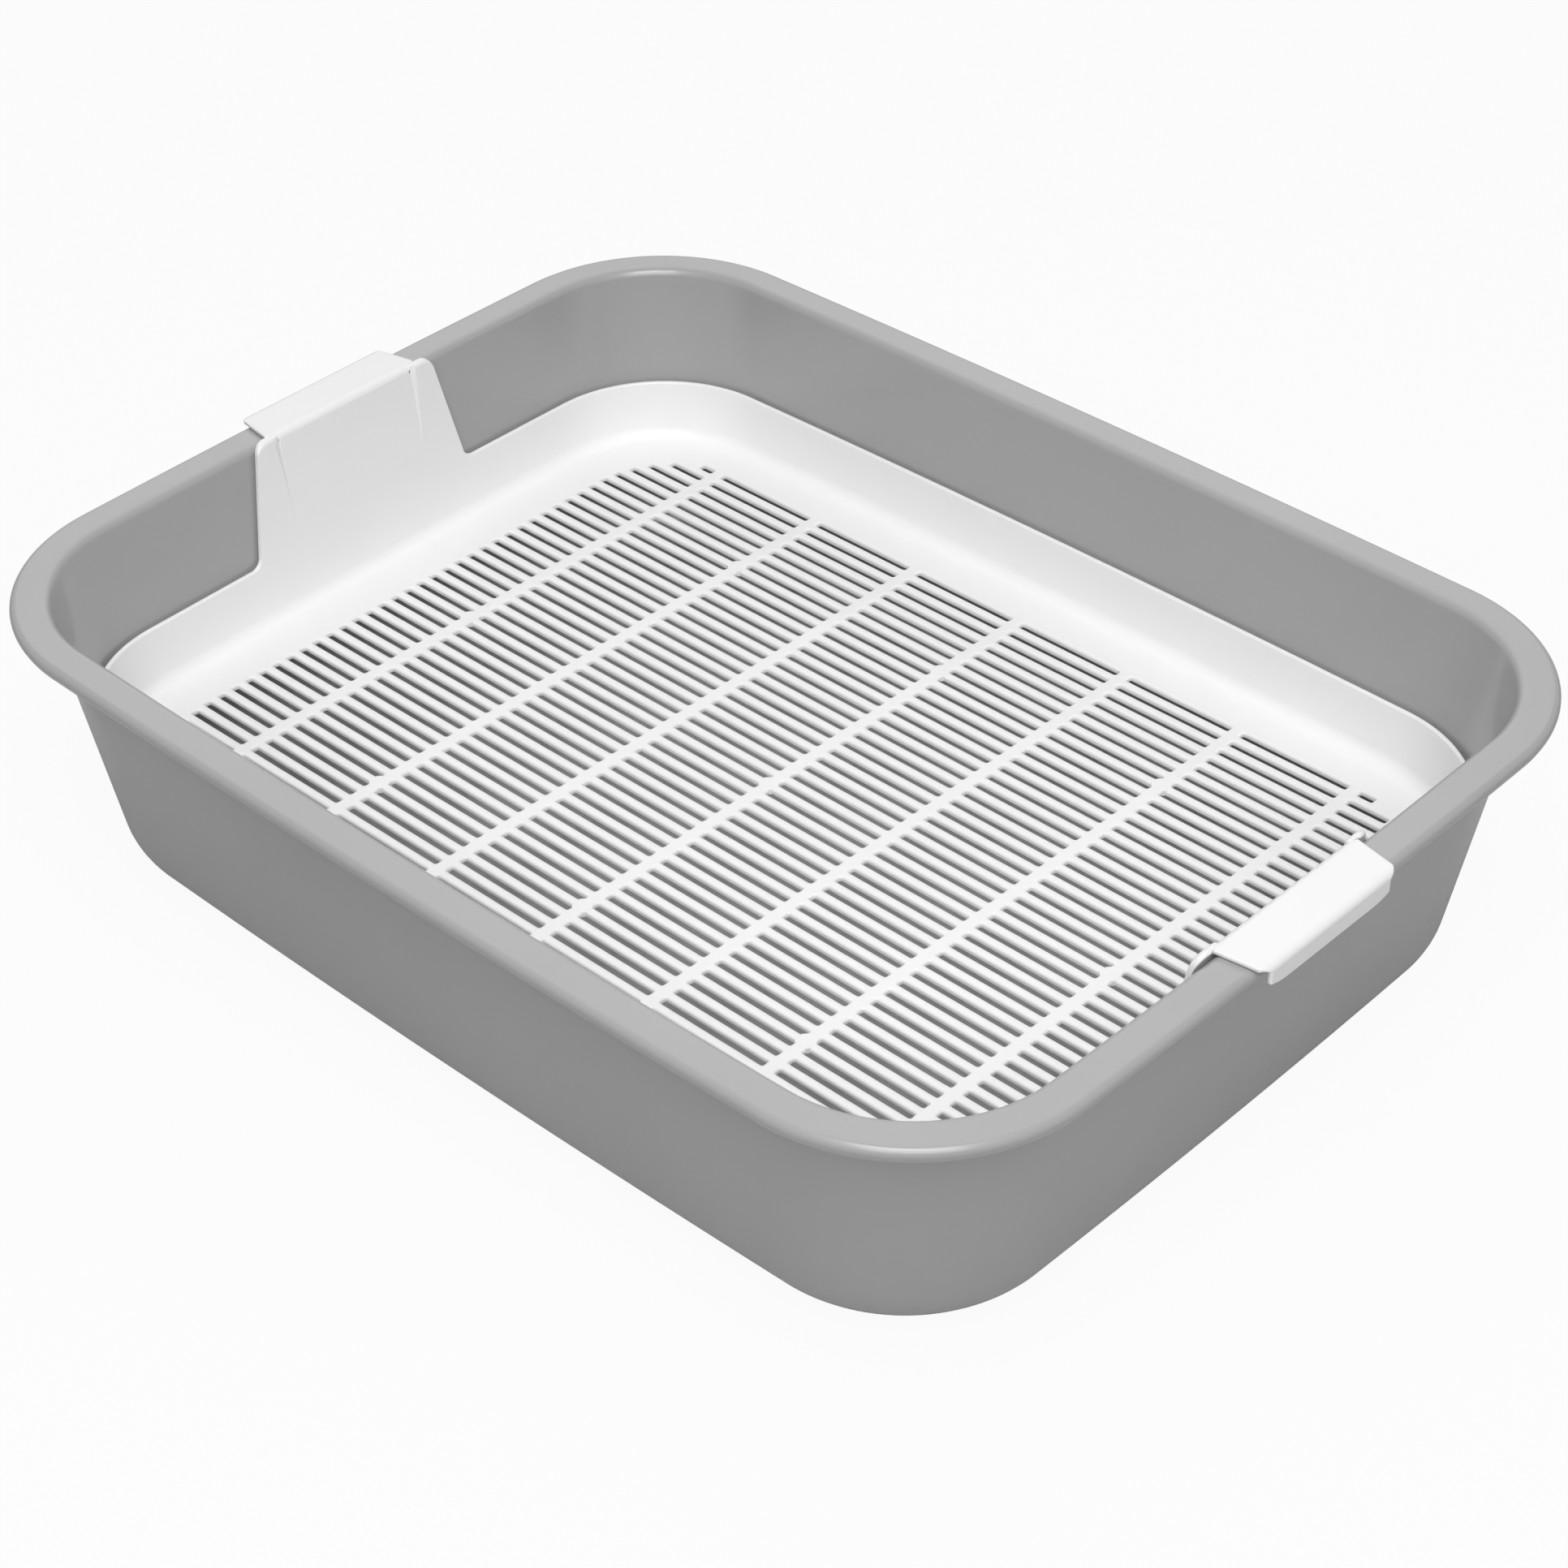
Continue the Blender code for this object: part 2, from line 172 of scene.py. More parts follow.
# Noise in the plastics as (scale, detail), the range of factors it gives, and the heights of its bumps
CLOUD_NOISE = (9.0, 2.0)
GLOSS_NOISE = (28.0, 2.0)
GRAIN_NOISE = (900.0, 1.0)
WAVE_NOISE = (22.0, 1.0)
NOISE_LOW = 0.3
NOISE_HIGH = 0.7
GRAIN_HEIGHT = 0.000005
WAVE_HEIGHT = 0.00004
FULL_STRENGTH = 1.0

# Camera: where it aims, from how far, and its angles as the photograph has them
AIM = Vector((0.06564, -0.09485, PAN_HEIGHT))
CAMERA_DISTANCE = 1.17
CAMERA_AZIMUTH = math.radians(44.616)
CAMERA_ELEVATION = math.radians(37.927)
CAMERA_ROLL = math.radians(-1.427)
SENSOR_MM = 36.0
LENS_MM = 82.686
SHIFT_X = 0.0441
SHIFT_Y = 0.0273

# Light: faint even fill, and three soft lamps as (name, place, width, power)
FILL_STRENGTH = 0.15
FLOOR_ALBEDO = 0.62
FLOOR_ROUGHNESS = 0.9
FLOOR_WHITE_SHARE = 0.94
FLOOR_SIZE = 8.0
LAMPS = (("behind", Vector((-1.20, 1.25, 1.75)), 2.2, 12.5),
         ("key", Vector((0.46, -0.48, 2.00)), 0.9, 18),
         ("front", Vector((1.13, -1.13, 1.545)), 1.4, 22.5))


def rounded_path(corners, steps):
    """Points along a path whose corners are rounded; its first and last corners only give directions."""
    points = []
    for before, here, after in zip(corners, corners[1:], corners[2:]):
        corner = Vector(here[:2])
        back = Vector(before[:2]) - corner
        ahead = Vector(after[:2]) - corner
        half_angle = back.angle(ahead) / 2
        reach = min(here[2] / math.tan(half_angle), back.length / 2, ahead.length / 2)
        if reach <= 0:
            points.append(corner)
            continue
        bisector = (back.normalized() + ahead.normalized()).normalized()
        middle = corner + bisector * reach * math.tan(half_angle) / math.sin(half_angle)
        start = corner + back.normalized() * reach - middle
        turn = start.angle_signed(corner + ahead.normalized() * reach - middle)
        for step in range(steps + 1):
            points.append(middle + Matrix.Rotation(-turn * step / steps, 2) @ start)
    return points


def pan_wall_inset(height):
    """Inset of the pan's inner wall at a height."""
    return RIM_FLANGE + PAN_DRAFT * (PAN_HEIGHT - height) / PAN_HEIGHT


def tray_outer_inset(height):
    """Inset of the tray's outer wall."""
    return pan_wall_inset(height) + TRAY_CLEARANCE


def tray_inner_inset(height):
    """Inset of the tray's inner wall."""
    return tray_outer_inset(height) + TRAY_WALL


def plan_sizes(inset, height):
    """Half length and half width at the corners, and the corner radius, of the outline at an inset."""
    radius = PAN_CORNER - inset + CORNER_GROWTH * (PAN_HEIGHT - height) / PAN_HEIGHT
    return PAN_LENGTH / 2 - END_BOW - inset, PAN_WIDTH / 2 - SIDE_BOW - inset, radius


def plan_stations(end_places):
    """Stations round the plan, anticlockwise: kind, place, and the signs of x and y."""
    quarter = [step / CORNER_STEPS * math.pi / 2 for step in range(CORNER_STEPS + 1)]
    side = [1 - 2 * step / SIDE_STEPS for step in range(1, SIDE_STEPS)]
    stations = [("end", place, 1, 1) for place in end_places]
    stations += [("corner", angle, 1, 1) for angle in quarter]
    stations += [("side", share, 1, 1) for share in side]
    stations += [("corner", angle, -1, 1) for angle in reversed(quarter)]
    stations += [("end", -place, -1, 1) for place in end_places]
    stations += [("corner", angle, -1, -1) for angle in quarter]
    stations += [("side", -share, 1, -1) for share in side]
    stations += [("corner", angle, 1, -1) for angle in reversed(quarter)]
    return stations


def station_point(station, inset, height):
    """Point of one station at an inset and a height; long and short sides bow a little outwards."""
    kind, place, sign_x, sign_y = station
    half_length, half_width, radius = plan_sizes(inset, height)
    straight_x = half_length - radius
    straight_y = half_width - radius
    if kind == "end":
        return Vector((sign_x * (half_length + END_BOW * (1 - (place / straight_y) ** 2)), place, height))
    if kind == "side":
        return Vector((place * straight_x, sign_y * (half_width + SIDE_BOW * (1 - place ** 2)), height))
    x = sign_x * (straight_x + radius * math.cos(place))
    return Vector((x, sign_y * (straight_y + radius * math.sin(place)), height))


def level_rings(stations, section):
    """One level ring of points for each (inset, height) of a section."""
    return [[station_point(station, inset, height) for station in stations] for inset, height in section]


def bridge(work, rings):
    """Add rings of vertices to a bmesh with quads between them, and return the rings' vertices."""
    made = [[work.verts.new(point) for point in ring] for ring in rings]
    count = len(rings[0])
    for lower, upper in zip(made, made[1:]):
        for here in range(count):
            after = (here + 1) % count
            work.faces.new((lower[here], lower[after], upper[after], upper[here]))
    return made


def cap_rows(work, ring):
    """Close a strip's end with quads between its two long rows of points."""
    half = len(ring) // 2
    upper = ring[:half]
    lower = list(reversed(ring[half:]))
    for here in range(half - 1):
        work.faces.new((upper[here], upper[here + 1], lower[here + 1], lower[here]))


def mesh_of(work, name):
    """Turn a bmesh into a mesh and free it."""
    mesh = bpy.data.meshes.new(name)
    work.to_mesh(mesh)
    work.free()
    return mesh


def add_object(name, mesh):
    """Object of a mesh, linked to the scene."""
    item = bpy.data.objects.new(name, mesh)
    bpy.context.scene.collection.objects.link(item)
    return item


def combine(base, tool, operation):
    """Apply a Boolean of a tool to a base object, and remove the tool."""
    modifier = base.modifiers.new("combine", "BOOLEAN")
    modifier.operation = operation
    modifier.solver = "EXACT"
    modifier.object = tool
    evaluated = base.evaluated_get(bpy.context.evaluated_depsgraph_get())
    result = bpy.data.meshes.new_from_object(evaluated)
    base.modifiers.clear()
    base.data = result
    bpy.data.objects.remove(tool)


def smooth_finish(item, material):
    """Give a piece its material and smooth shading that keeps large faces flat."""
    item.data.materials.clear()
    item.data.materials.append(material)
    item.data.shade_smooth()
    item.data.set_sharp_from_angle(angle=SMOOTH_ANGLE)
    weighted = item.modifiers.new("flat_faces", "WEIGHTED_NORMAL")
    weighted.keep_sharp = True
    weighted.weight = LARGE_FACE_WEIGHT


# Pan

def pan_section():
    """Section of the pan as (inset, height): up the outside, over the rolled rim and down to the floor."""
    under = PAN_HEIGHT - RIM_THICKNESS
    edge_top = PAN_HEIGHT - RIM_FALL
    lip_foot = PAN_HEIGHT - RIM_LIP
    outer_foot = pan_wall_inset(0) - PAN_WALL
    inner_foot = pan_wall_inset(PAN_WALL)
    base_middle = outer_foot + PAN_WIDTH / 2
    foot = rounded_path([(base_middle, 0, 0),
                         (outer_foot, 0, PAN_FOOT_FILLET + PAN_WALL),
                         (pan_wall_inset(under) - PAN_WALL, under, 0)], FILLET_STEPS)
    roll = []
    for step in range(ROLL_STEPS + 1):
        angle = (math.pi / 2 + RIM_ROLL_LEAN) * step / ROLL_STEPS - RIM_ROLL_LEAN
        inset = RIM_OUTER_ROUND * (1 - math.cos(angle))
        roll.append((inset, edge_top - RIM_OUTER_ROUND * (1 - math.sin(angle))))
    drawn_in = roll[0][0] + (roll[0][1] - lip_foot) * math.tan(RIM_ROLL_LEAN)
    lip = rounded_path([(outer_foot, 0, 0),
                        (pan_wall_inset(under) - PAN_WALL, under, LIP_EDGE_ROUND),
                        (RIM_THICKNESS, edge_top - RIM_THICKNESS, RIM_OUTER_ROUND - RIM_THICKNESS),
                        (RIM_THICKNESS + drawn_in, lip_foot, LIP_EDGE_ROUND),
                        (drawn_in, lip_foot, LIP_EDGE_ROUND),
                        roll[0]], SMALL_ROUND_STEPS)
    flange = rounded_path([(0, edge_top, 0),
                           (RIM_FLANGE, PAN_HEIGHT, RIM_INNER_ROUND),
                           (inner_foot, PAN_WALL, 0)], SMALL_ROUND_STEPS)
    floor = rounded_path([(RIM_FLANGE, PAN_HEIGHT, 0),
                          (inner_foot, PAN_WALL, PAN_FOOT_FILLET),
                          (base_middle, PAN_WALL, 0)], FILLET_STEPS)
    return foot + lip + roll + flange + floor


def build_pan(material):
    """The pan as one fine shell."""
    straight = PAN_WIDTH / 2 - SIDE_BOW - PAN_CORNER
    places = [straight * (2 * step / END_STEPS - 1) for step in range(1, END_STEPS)]
    work = bmesh.new()
    rings = bridge(work, level_rings(plan_stations(places), pan_section()))
    work.faces.new(reversed(rings[0]))
    work.faces.new(rings[-1])
    pan = add_object("pan_shell", mesh_of(work, "pan_shell"))
    smooth_finish(pan, material)
    return pan


# Sieve tray

def panel_outline():
    """Places across a tray end, with the height of the wall's top at each; the hook hides the middle."""
    wall_top = PAN_HEIGHT - TRAY_TOP_DROP
    shoulder = PAN_HEIGHT + PANEL_RISE
    hidden = PAN_HEIGHT - PANEL_HIDDEN_DROP
    recess_edge = HOOK_HALF_BEND + RECESS_SIDE_ROOM
    corners = [(HOOK_HALF_PLATE - PANEL_SHOULDER, shoulder, 0),
               (PANEL_HALF_HEAD, shoulder, PANEL_SHOULDER),
               (PANEL_HALF_FOOT, wall_top, PANEL_FOOT_FILLET),
               (PANEL_HALF_FOOT + PANEL_FOOT_FILLET + PANEL_SHOULDER, wall_top, 0)]
    half = [tuple(point) for point in rounded_path(corners, PANEL_STEPS)]
    half.insert(0, (recess_edge + RECESS_SIDE_ROOM, shoulder))
    half.insert(0, (recess_edge, hidden))
    return [(-place, height) for place, height in reversed(half)] + half


def tray_rings(stations, tops):
    """Rings of the tray's shell; each station has its own top, so the end panels rise from the wall."""
    under = tray_low.z
    floor = PAN_HEIGHT - TRAY_FLOOR_DROP
    wall_top = PAN_HEIGHT - TRAY_TOP_DROP
    middle = PAN_WIDTH / 2
    outer_foot = rounded_path([(middle, under, 0),
                               (tray_outer_inset(under), under, TRAY_FILLET + TRAY_FLOOR),
                               (tray_outer_inset(wall_top), wall_top, 0)], FILLET_STEPS)
    inner_foot = rounded_path([(tray_inner_inset(wall_top), wall_top, 0),
                               (tray_inner_inset(floor), floor, TRAY_FILLET),
                               (middle, floor, 0)], FILLET_STEPS)
    shoulder = PAN_HEIGHT + PANEL_RISE
    hidden = PAN_HEIGHT - PANEL_HIDDEN_DROP
    edges = []
    for top in tops:
        share = 0 if top == hidden else max(0, 1 - (shoulder - top) / SHOULDER_BLEND)
        neck = top - TRAY_EDGE_ROUND * 2 - SHOULDER_BLEND * share / 2
        flare = SHOULDER_FLARE * share
        inner_round = TRAY_EDGE_ROUND + (SHOULDER_ROUND - TRAY_EDGE_ROUND) * share
        edge = rounded_path([(tray_outer_inset(neck), neck, 0),
                             (tray_outer_inset(top) - flare, top, TRAY_EDGE_ROUND),
                             (tray_inner_inset(top), top, inner_round),
                             (tray_inner_inset(floor), floor, 0)], SMALL_ROUND_STEPS)
        edges.append([Vector((tray_outer_inset(neck), neck))] + edge)
    rings = level_rings(stations, outer_foot)
    for level in range(len(edges[0])):
        rings.append([station_point(station, *edge[level]) for station, edge in zip(stations, edges)])
    return rings + level_rings(stations, inner_foot)


def slot_spans():
    """Every slot as (first x, last x, y): rows along the box, broken by the cross ribs."""
    floor = PAN_HEIGHT - TRAY_FLOOR_DROP
    half_length, half_width, _ = plan_sizes(tray_inner_inset(floor), floor)
    half_length -= FIELD_END_BORDER
    half_width -= FIELD_SIDE_BORDER
    spans = []
    for row in range(-SLOT_ROWS_EACH_SIDE, SLOT_ROWS_EACH_SIDE):
        y = (row + 0.5) * SLOT_PITCH
        past = min(FIELD_CORNER, max(0, abs(y) - (half_width - FIELD_CORNER)))
        end = half_length - FIELD_CORNER + math.sqrt(FIELD_CORNER ** 2 - past ** 2)
        for cell in range(-RIB_COUNT_EACH_SIDE - 1, RIB_COUNT_EACH_SIDE + 1):
            first = max(-end, cell * RIB_PITCH + RIB_WIDTH / 2)
            last = min(end, (cell + 1) * RIB_PITCH - RIB_WIDTH / 2)
            if last - first >= SLOT_WIDTH:
                spans.append((first, last, y))
    return spans


def slot_outline(first, last, y, grown, height):
    """Points round a slot, anticlockwise, grown outwards by a distance, with small round corners."""
    radius = SLOT_CORNER + grown
    half_x = (last - first) / 2 + grown - radius
    half_y = SLOT_WIDTH / 2 + grown - radius
    points = []
    for quarter, (sign_x, sign_y) in enumerate(((1, 1), (-1, 1), (-1, -1), (1, -1))):
        for step in range(SLOT_CORNER_STEPS + 1):
            angle = (quarter + step / SLOT_CORNER_STEPS) * math.pi / 2
            x = (first + last) / 2 + sign_x * half_x + radius * math.cos(angle)
            points.append(Vector((x, y + sign_y * half_y + radius * math.sin(angle), height)))
    return points


def slot_rings(first, last, y):
    """Rings down through a slot, from its rounded upper edge to its rounded lower edge."""
    top = PAN_HEIGHT - TRAY_FLOOR_DROP
    bottom = tray_low.z
    arc = [step / SLOT_EDGE_STEPS * math.pi / 2 for step in range(SLOT_EDGE_STEPS + 1)]
    rings = [(SLOT_EDGE_ROUND * (1 - math.sin(angle)), top - SLOT_EDGE_ROUND * (1 - math.cos(angle)))
             for angle in arc]
    rings += [(SLOT_UNDER_ROUND * (1 - math.sin(angle)), bottom + SLOT_UNDER_ROUND * (1 - math.cos(angle)))
              for angle in reversed(arc)]
    return [slot_outline(first, last, y, grown, height) for grown, height in rings]


def fill_floor(work, border, slots, upwards):
    """Fill one face of the slotted floor: everything inside the border ring and outside the slots."""
    loops = [border] + slots
    points = [vertex.co.to_2d() for loop in loops for vertex in loop]
    vertices = [vertex for loop in loops for vertex in loop]
    faces = []
    for loop in loops:
        first = sum(len(face) for face in faces)
        faces.append(list(range(first, first + len(loop))))
    inside_only = 1
    same_point = SLOT_CORNER / len(points)
    filled = geometry.delaunay_2d_cdt(points, [], faces, inside_only, same_point)
    _, _, triangles, sources, _, face_sources = filled
    for triangle, inside in zip(triangles, face_sources):
        if list(inside) != [0]:
            continue
        corners = [vertices[sources[index][0]] for index in triangle]
        face = work.faces.new(corners)
        face.normal_update()
        if (face.normal.z > 0) != upwards:
            face.normal_flip()


def tray_shell():
    """The tray without hooks and pads: shell, end panels and slotted floor."""
    outline = panel_outline()
    half = len(outline) // 2
    inner, hidden = outline[half]
    across = [inner * (2 * step / END_STEPS - 1) for step in range(1, END_STEPS)]
    outline = outline[:half] + [(place, hidden) for place in across] + outline[half:]
    panel_tops = dict(outline)
    wall_top = PAN_HEIGHT - TRAY_TOP_DROP
    stations = plan_stations([place for place, _ in outline])
    tops = [panel_tops.get(place, wall_top) if kind == "end" else wall_top
            for kind, place, _, _ in stations]
    work = bmesh.new()
    rings = bridge(work, tray_rings(stations, tops))
    slots = [bridge(work, slot_rings(*span)) for span in slot_spans()]
    fill_floor(work, rings[-1], [slot[0] for slot in slots], True)
    fill_floor(work, rings[0], [slot[-1] for slot in slots], False)
    bmesh.ops.recalc_face_normals(work, faces=work.faces)
    return add_object("sieve_shell", mesh_of(work, "sieve_shell"))


def hook_half_width(x, edge):
    """Half width of the hook's plate at a place along the box, narrowing outwards to rounded corners."""
    start = PAN_LENGTH / 2 - RIM_FLANGE
    share = max(0, (x - start) / (edge - start))
    width = HOOK_HALF_PLATE + (HOOK_HALF_EDGE - HOOK_HALF_PLATE) * share
    past = min(HOOK_CORNER, max(0, x - (edge - HOOK_CORNER)))
    return width - HOOK_CORNER + math.sqrt(HOOK_CORNER ** 2 - past ** 2)


def hook_stations():
    """Stations along the +X hook: shown and hidden side (x and z), half width, and share of the lip."""
    end = PAN_LENGTH / 2
    edge = end + HOOK_EDGE_CLEARANCE + HOOK_THICKNESS
    top = PAN_HEIGHT + HOOK_SEAT + HOOK_THICKNESS
    under = PAN_HEIGHT + HOOK_SEAT
    root = PAN_HEIGHT - HOOK_ROOT_DROP
    root_face = end - tray_inner_inset(root) + HOOK_ROOT_SINK
    head_face = end - tray_inner_inset(PAN_HEIGHT) + HOOK_INSIDE
    shown = rounded_path([(root_face, root, 0), (head_face, top, HOOK_INNER_BEND),
                          (edge, top - HOOK_FALL, HOOK_OUTER_BEND), (edge, top - HOOK_ROOT_DROP, 0)],
                         FILLET_STEPS)
    hidden = rounded_path([(root_face + HOOK_EMBEDDED, root, 0), (head_face + HOOK_EMBEDDED, under, 0),
                           (edge - HOOK_THICKNESS, under - HOOK_FALL, HOOK_UNDER_BEND),
                           (edge - HOOK_THICKNESS, top - HOOK_ROOT_DROP, 0)], FILLET_STEPS)
    bend = FILLET_STEPS + 1
    hidden = [hidden[0]] * bend + hidden[1:]
    stations = [((root_face, root), (root_face + HOOK_EMBEDDED, root), HOOK_HALF_ROOT, 0)]
    for index, (front, back) in enumerate(zip(shown, hidden)):
        width = hook_half_width(front[0], edge)
        if index < bend:
            width = HOOK_HALF_BEND + (HOOK_HALF_PLATE - HOOK_HALF_BEND) * index / FILLET_STEPS
        stations.append((tuple(front), tuple(back), width, 0))
    lip_back = edge - HOOK_THICKNESS
    stations.append(((edge, PAN_HEIGHT), (lip_back, PAN_HEIGHT), hook_half_width(edge, edge), 1))
    return stations


def lip_drop(share):
    """How far the lip reaches below the rim's top at a share of its half width; its ends are drawn up."""
    past = max(0, abs(share) - LIP_TAPER_SHARE) / (1 - LIP_TAPER_SHARE)
    return LIP_DROP + (LIP_END_DROP - LIP_DROP) * past ** 2


def hook_section(front, back, half_width, lip, inset, sign):
    """Points round the hook's section at one station: a strip with round edges, drawn in by an inset."""
    front = Vector(front)
    back = Vector(back)
    middle = (front + back) / 2
    outwards = (front - back).normalized()
    half_thickness = (front - back).length / 2 - inset
    radius = min(HOOK_EDGE_ROUND, half_thickness * HOOK_ROUND_LIMIT_SHARE)
    half_width -= inset
    points = []
    flat = half_width - radius
    corner = [step / HOOK_ROUND_STEPS * math.pi / 2 for step in range(HOOK_ROUND_STEPS + 1)]
    across = [flat * (1 - 2 * step / HOOK_ACROSS_STEPS) for step in range(1, HOOK_ACROSS_STEPS)]
    places = [(flat + radius * math.sin(angle), math.cos(angle)) for angle in reversed(corner)]
    places += [(y, 1) for y in across]
    places += [(-flat - radius * math.sin(angle), math.cos(angle)) for angle in corner]
    for side in (1, -1):
        for y, rise in places:
            lift = side * (half_thickness - radius + radius * rise)
            place = middle + outwards * lift
            drop = lip * lip_drop(side * y / half_width)
            points.append(Vector((sign * place.x, side * y, place.y - drop)))
    return points


def hook(sign):
    """Closed strip that starts inside the end panel, bends over the rim and ends in a lip outside it."""
    stations = hook_stations()
    rings = [hook_section(*station, 0, sign) for station in stations[:-1]]
    front, back, half_width, lip = stations[-1]
    for step in range(HOOK_ROUND_STEPS + 1):
        angle = step / HOOK_ROUND_STEPS * math.pi / 2
        rise = HOOK_EDGE_ROUND * (1 - math.sin(angle))
        inset = HOOK_EDGE_ROUND * (1 - math.cos(angle))
        raised = [(x, z + rise) for x, z in (front, back)]
        rings.append(hook_section(*raised, half_width, lip, inset, sign))
    work = bmesh.new()
    made = bridge(work, rings)
    work.faces.new(reversed(made[0]))
    cap_rows(work, made[-1])
    bmesh.ops.recalc_face_normals(work, faces=work.faces)
    return add_object("hook", mesh_of(work, "hook"))


def recess(sign):
    """Cutter for the shallow recess down the middle of an end panel, which fades out downwards."""
    rings = []
    for step in range(RECESS_STEPS + 1):
        drop = (RECESS_LENGTH + RECESS_OVERRUN) * step / RECESS_STEPS - RECESS_OVERRUN
        height = PAN_HEIGHT - drop
        face = PAN_LENGTH / 2 - tray_inner_inset(height)
        depth = RECESS_DEPTH * min(1, 1 - drop / RECESS_LENGTH)
        narrowing = (HOOK_HALF_BEND - HOOK_HALF_ROOT) * max(0, drop) / HOOK_ROOT_DROP
        half_width = HOOK_HALF_BEND + RECESS_SIDE_ROOM - narrowing
        half = []
        for ramp_step in range(RECESS_RAMP_STEPS + 1):
            share = ramp_step / RECESS_RAMP_STEPS
            half.append((face + depth - RECESS_DEPTH * (1 + RECESS_EXCESS_SHARE) * share,
                         half_width + RECESS_RAMP * share))
        half.append((face - RECESS_OVERRUN, half_width + RECESS_RAMP))
        ring = half + [(x, -y) for x, y in reversed(half)]
        rings.append([Vector((sign * x, y, height)) for x, y in ring])
    work = bmesh.new()
    made = bridge(work, rings)
    work.faces.new(reversed(made[0]))
    work.faces.new(made[-1])
    bmesh.ops.triangulate(work, faces=work.faces)
    bmesh.ops.recalc_face_normals(work, faces=work.faces)
    return add_object("recess", mesh_of(work, "recess"))


def pads():
    """The round pads with softened rims, as low discs that fill the slots they cross."""
    top = PAN_HEIGHT - TRAY_FLOOR_DROP + PAD_RISE
    bottom = tray_low.z + PAD_RISE
    outer_y = PAD_ROWS_APART * SLOT_PITCH
    places = [(rib * RIB_PITCH, 0) for rib in (-PAD_MIDDLE_RIBS, 0, PAD_MIDDLE_RIBS)]
    for y in (-outer_y, outer_y):
        places += [(rib * RIB_PITCH, y) for rib in (-PAD_OUTER_RIBS, 0, PAD_OUTER_RIBS)]
    work = bmesh.new()
    for x, y in places:
        rings = []
        for inset, height in ((0, bottom), (0, top - PAD_EDGE_ROUND), (PAD_EDGE_ROUND, top)):
            radius = PAD_RADIUS - inset
            angles = [step / PAD_STEPS * 2 * math.pi for step in range(PAD_STEPS)]
            rings.append([(x + radius * math.cos(a), y + radius * math.sin(a), height) for a in angles])
        made = bridge(work, rings)
        work.faces.new(reversed(made[0]))
        work.faces.new(made[-1])
    return add_object("pads", mesh_of(work, "pads"))


def build_tray(material):
    """The sieve tray as one fine moulding."""
    tray = tray_shell()
    for sign in (1, -1):
        combine(tray, recess(sign), "DIFFERENCE")
        combine(tray, hook(sign), "UNION")
    combine(tray, pads(), "UNION")
    smooth_finish(tray, material)
    return tray


# Materials

def new_material(name):
    """Empty node material, with its tree and its Principled shader."""
    material = bpy.data.materials.new(name)
    material.use_nodes = True
    tree = material.node_tree
    return material, tree, tree.nodes["Principled BSDF"]


def grey(value):
    """Opaque neutral colour."""
    return (value, value, value, 1.0)


def noise(tree, coordinates, scale, detail):
    """Noise texture over object coordinates."""
    node = tree.nodes.new("ShaderNodeTexNoise")
    node.inputs["Scale"].default_value = scale
    node.inputs["Detail"].default_value = detail
    tree.links.new(coordinates, node.inputs["Vector"])
    return node.outputs["Fac"]


def ramp_value(tree, factor, low, high):
    """Spread a noise factor over a range of values."""
    node = tree.nodes.new("ShaderNodeMapRange")
    node.inputs["From Min"].default_value = NOISE_LOW
    node.inputs["From Max"].default_value = NOISE_HIGH
    node.inputs["To Min"].default_value = low
    node.inputs["To Max"].default_value = high
    tree.links.new(factor, node.inputs["Value"])
    return node.outputs["Result"]


def ramp_colour(tree, factor, dark, light):
    """Spread a noise factor between two colours."""
    node = tree.nodes.new("ShaderNodeValToRGB")
    node.color_ramp.elements[0].position = NOISE_LOW
    node.color_ramp.elements[0].color = dark
    node.color_ramp.elements[1].position = NOISE_HIGH
    node.color_ramp.elements[1].color = light
    tree.links.new(factor, node.inputs["Fac"])
    return node.outputs["Color"]


def bump(tree, factor, height):
    """Bump node that raises the surface by a height where the factor is highest."""
    node = tree.nodes.new("ShaderNodeBump")
    node.inputs["Strength"].default_value = FULL_STRENGTH
    node.inputs["Distance"].default_value = height
    tree.links.new(factor, node.inputs["Height"])
    return node


def moulded_plastic(name, greys, roughness, coat):
    """Semi-gloss moulded plastic: faint cloudiness, uneven gloss, fine grain and slow waves."""
    material, tree, shader = new_material(name)
    coordinates = tree.nodes.new("ShaderNodeTexCoord").outputs["Object"]
    dark, light = greys
    colour = ramp_colour(tree, noise(tree, coordinates, *CLOUD_NOISE), grey(dark), grey(light))
    tree.links.new(colour, shader.inputs["Base Color"])
    gloss = ramp_value(tree, noise(tree, coordinates, *GLOSS_NOISE), *roughness)
    tree.links.new(gloss, shader.inputs["Roughness"])
    grain = bump(tree, noise(tree, coordinates, *GRAIN_NOISE), GRAIN_HEIGHT)
    waves = bump(tree, noise(tree, coordinates, *WAVE_NOISE), WAVE_HEIGHT)
    tree.links.new(waves.outputs["Normal"], grain.inputs["Normal"])
    tree.links.new(grain.outputs["Normal"], shader.inputs["Normal"])
    shader.inputs["IOR"].default_value = PLASTIC_IOR
    shader.inputs["Coat Weight"].default_value = coat
    shader.inputs["Coat Roughness"].default_value = COAT_ROUGHNESS
    return material


# Stage, light and camera

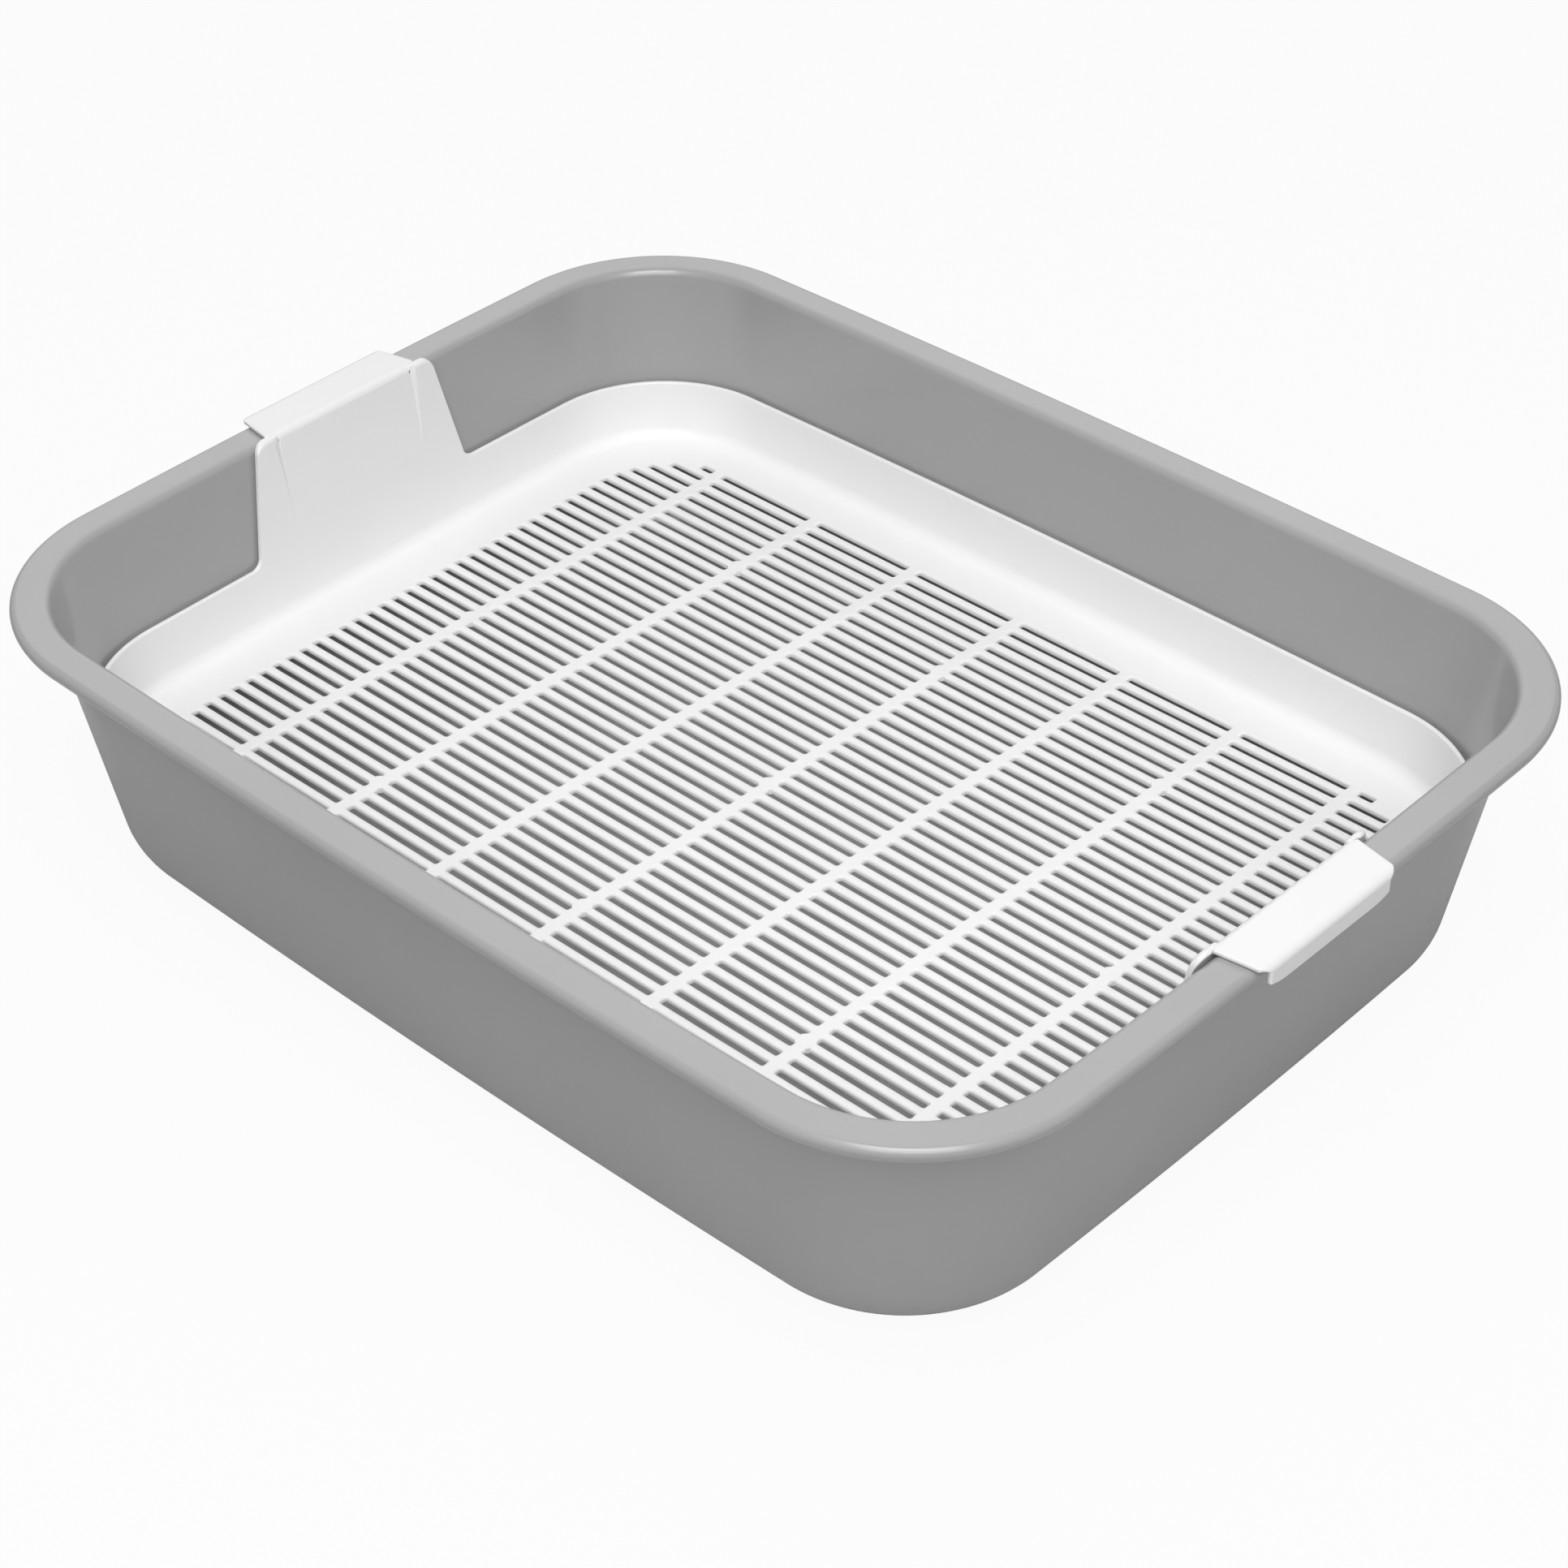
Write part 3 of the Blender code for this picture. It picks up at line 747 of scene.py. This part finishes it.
def white_to_eye(tree, shader_output, white_share, rays):
    """Blend a shader towards plain white, by a share, for the named kinds of rays."""
    path = tree.nodes.new("ShaderNodeLightPath")
    seen = path.outputs[rays[0]]
    for kind in rays[1:]:
        either = tree.nodes.new("ShaderNodeMath")
        either.operation = "MAXIMUM"
        tree.links.new(seen, either.inputs[0])
        tree.links.new(path.outputs[kind], either.inputs[1])
        seen = either.outputs["Value"]
    share = tree.nodes.new("ShaderNodeMath")
    share.operation = "MULTIPLY"
    share.inputs[1].default_value = white_share
    tree.links.new(seen, share.inputs[0])
    in_world = shader_output.node.type == "BACKGROUND"
    white = tree.nodes.new("ShaderNodeBackground" if in_world else "ShaderNodeEmission")
    white.inputs["Strength"].default_value = FULL_STRENGTH
    mix = tree.nodes.new("ShaderNodeMixShader")
    tree.links.new(share.outputs["Value"], mix.inputs["Fac"])
    tree.links.new(shader_output, mix.inputs[1])
    tree.links.new(white.outputs[0], mix.inputs[2])
    return mix.outputs["Shader"]


def build_floor():
    """Plain pale floor that keeps a soft shadow."""
    work = bmesh.new()
    bmesh.ops.create_grid(work, x_segments=1, y_segments=1, size=FLOOR_SIZE)
    floor = add_object("floor", mesh_of(work, "floor"))
    material, tree, shader = new_material("floor_white")
    shader.inputs["Base Color"].default_value = grey(FLOOR_ALBEDO)
    shader.inputs["Roughness"].default_value = FLOOR_ROUGHNESS
    shader.inputs["Specular IOR Level"].default_value = 0.0
    mixed = white_to_eye(tree, shader.outputs["BSDF"], FLOOR_WHITE_SHARE, ["Is Camera Ray"])
    tree.links.new(mixed, tree.nodes["Material Output"].inputs["Surface"])
    floor.data.materials.append(material)


def build_world():
    """Even studio surroundings: white to the eye and in reflections, faint as fill light."""
    world = bpy.data.worlds.new("studio")
    world.use_nodes = True
    tree = world.node_tree
    fill = tree.nodes["Background"]
    fill.inputs["Color"].default_value = grey(1.0)
    fill.inputs["Strength"].default_value = FILL_STRENGTH
    clear_rays = ["Is Camera Ray", "Is Glossy Ray", "Is Transmission Ray"]
    mixed = white_to_eye(tree, fill.outputs["Background"], FULL_STRENGTH, clear_rays)
    tree.links.new(mixed, tree.nodes["World Output"].inputs["Surface"])
    bpy.context.scene.world = world


def add_softbox(name, place, width, power):
    """Square area lamp that looks at the middle of the pan's base."""
    lamp = bpy.data.lights.new(name, "AREA")
    lamp.shape = "SQUARE"
    lamp.size = width
    lamp.energy = power
    item = bpy.data.objects.new(name, lamp)
    item.location = place
    item.rotation_mode = "QUATERNION"
    item.rotation_quaternion = (-place).to_track_quat("-Z", "Y")
    bpy.context.scene.collection.objects.link(item)


def build_camera():
    """Camera at the photograph's angle."""
    camera = bpy.data.cameras.new("camera")
    camera.sensor_width = SENSOR_MM
    camera.lens = LENS_MM
    camera.shift_x = SHIFT_X
    camera.shift_y = SHIFT_Y
    item = bpy.data.objects.new("camera", camera)
    back = Vector((math.sin(CAMERA_AZIMUTH) * math.cos(CAMERA_ELEVATION),
                   -math.cos(CAMERA_AZIMUTH) * math.cos(CAMERA_ELEVATION), math.sin(CAMERA_ELEVATION)))
    right = Vector((math.cos(CAMERA_AZIMUTH), math.sin(CAMERA_AZIMUTH), 0))
    upright = Matrix((right, back.cross(right), back)).transposed()
    turned = upright @ Matrix.Rotation(CAMERA_ROLL, 3, "Z")
    item.matrix_world = Matrix.Translation(AIM + back * CAMERA_DISTANCE) @ turned.to_4x4()
    bpy.context.scene.collection.objects.link(item)
    bpy.context.scene.camera = item


pan_plastic = moulded_plastic("pan_plastic", PAN_GREYS, PAN_ROUGHNESS, PAN_COAT)
tray_plastic = moulded_plastic("tray_plastic", TRAY_GREYS, TRAY_ROUGHNESS, TRAY_COAT)
pan_shell = build_pan(pan_plastic)
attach(pan_shell, "pan")
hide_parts("litter_pan")
sieve_shell = build_tray(tray_plastic)
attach(sieve_shell, "sieve")
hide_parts("sieve_tray")

build_floor()
build_world()
for lamp_name, lamp_place, lamp_width, lamp_power in LAMPS:
    add_softbox(lamp_name, lamp_place, lamp_width, lamp_power)
build_camera()
bpy.context.scene.view_settings.view_transform = "Standard"
